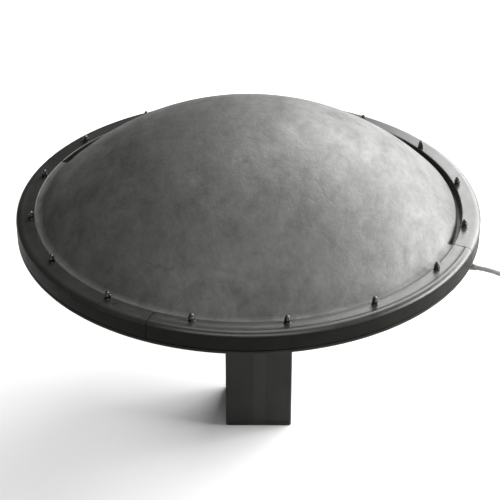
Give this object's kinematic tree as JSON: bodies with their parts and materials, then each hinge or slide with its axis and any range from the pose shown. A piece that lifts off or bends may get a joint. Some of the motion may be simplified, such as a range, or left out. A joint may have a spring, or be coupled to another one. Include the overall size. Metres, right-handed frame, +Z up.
{
  "type": "radar dome antenna",
  "caption": "Marine radar scanner: low dark dome clamped by a bolted rim ring over a pan, on a short square post, with a turning antenna inside and a coiled cable.",
  "frame": {"origin": "on the antenna's turning axis, in the plane of the post's foot", "axes": "+Z up along the antenna's turning axis; +X towards the side where the cable leaves; the picture's camera looks along +Y"},
  "size_m": [0.8696, 0.63, 0.4717],
  "materials": {
    "dome_laminate": "semi-gloss dark grey laminate with a soft, uneven hand-laid surface",
    "rim_paint": "semi-gloss near-black grey gel coat on moulded laminate",
    "pan_paint": "semi-gloss near-black grey gel coat on moulded laminate",
    "post_paint": "satin near-black grey paint",
    "black_rubber": "matt black rubber",
    "black_nylon": "satin black moulded nylon",
    "black_steel": "blackened steel",
    "steel": "bright machined steel",
    "cast_alloy": "bead-blasted cast alloy",
    "brass": "turned brass",
    "acetal": "off-white acetal",
    "array_plastic": "light grey moulded plastic",
    "motor_paint": "black stove enamel",
    "circuit_board": "green solder mask with dark components",
    "cable_jacket": "mid-grey cable jacket, satin"
  },
  "bodies": {
    "housing": {"radome_dome": "dome_laminate", "rim_ring_1": "rim_paint", "rim_ring_2": "rim_paint", "rim_ring_3": "rim_paint", "rim_ring_4": "rim_paint", "rim_bolt_01": "black_steel", "rim_bolt_02": "black_steel", "rim_bolt_03": "black_steel", "rim_bolt_04": "black_steel", "rim_bolt_05": "black_steel", "rim_bolt_06": "black_steel", "rim_bolt_07": "black_steel", "rim_bolt_08": "black_steel", "rim_bolt_09": "black_steel", "rim_bolt_10": "black_steel", "rim_bolt_11": "black_steel", "rim_bolt_12": "black_steel", "rim_bolt_13": "black_steel", "rim_bolt_14": "black_steel", "rim_bolt_15": "black_steel", "rim_bolt_16": "black_steel", "rim_gasket": "black_rubber", "base_pan": "pan_paint", "pan_flange": "pan_paint", "post_flange": "post_paint", "flange_bolt_1": "steel", "flange_bolt_2": "steel", "flange_bolt_3": "steel", "flange_bolt_4": "steel", "post_tube": "post_paint", "post_end_cap": "black_rubber", "cable_gland": "black_nylon", "gland_nut": "black_nylon", "strain_relief": "black_rubber", "cable_run": "cable_jacket", "cable_tail": "cable_jacket", "cable_coil": "cable_jacket", "cable_tie": "black_rubber", "cable_connector": "black_nylon", "bearing_housing": "cast_alloy", "lower_bearing_outer": "steel", "upper_bearing_outer": "steel", "rotary_joint": "brass", "heading_sensor": "circuit_board", "drive_motor": "motor_paint", "motor_bracket": "cast_alloy", "transceiver_box": "cast_alloy", "main_board": "circuit_board", "inner_harness": "cable_jacket"},
    "antenna": {"spindle": "steel", "lower_bearing_inner": "steel", "upper_bearing_inner": "steel", "driven_gear": "acetal", "array_bracket": "cast_alloy", "antenna_array": "array_plastic", "array_cap_left": "acetal", "array_cap_right": "acetal", "heading_magnet": "steel"},
    "pinion": {"drive_pinion": "steel"},
    "coupling_ring": {"connector_ring": "steel"}
  },
  "joints": [
    {"name": "antenna_rotation", "type": "hinge", "parent": "housing", "child": "antenna", "pos_m": [0, 0, 0.3], "axis": [0, 0, 1], "continuous": true},
    {"name": "pinion_spin", "type": "hinge", "parent": "housing", "child": "pinion", "pos_m": [-0.084, 0, 0.3], "axis": [0, 0, 1], "continuous": true},
    {"name": "coupling_ring_spin", "type": "hinge", "parent": "housing", "child": "coupling_ring", "pos_m": [0.43052, 0.09544, 0.011], "axis": [-0.0993, 0.9951, 0], "continuous": true}
  ],
  "couplings": [
    {"joint": "pinion_spin", "follows": "antenna_rotation", "ratio": -6}
  ]
}
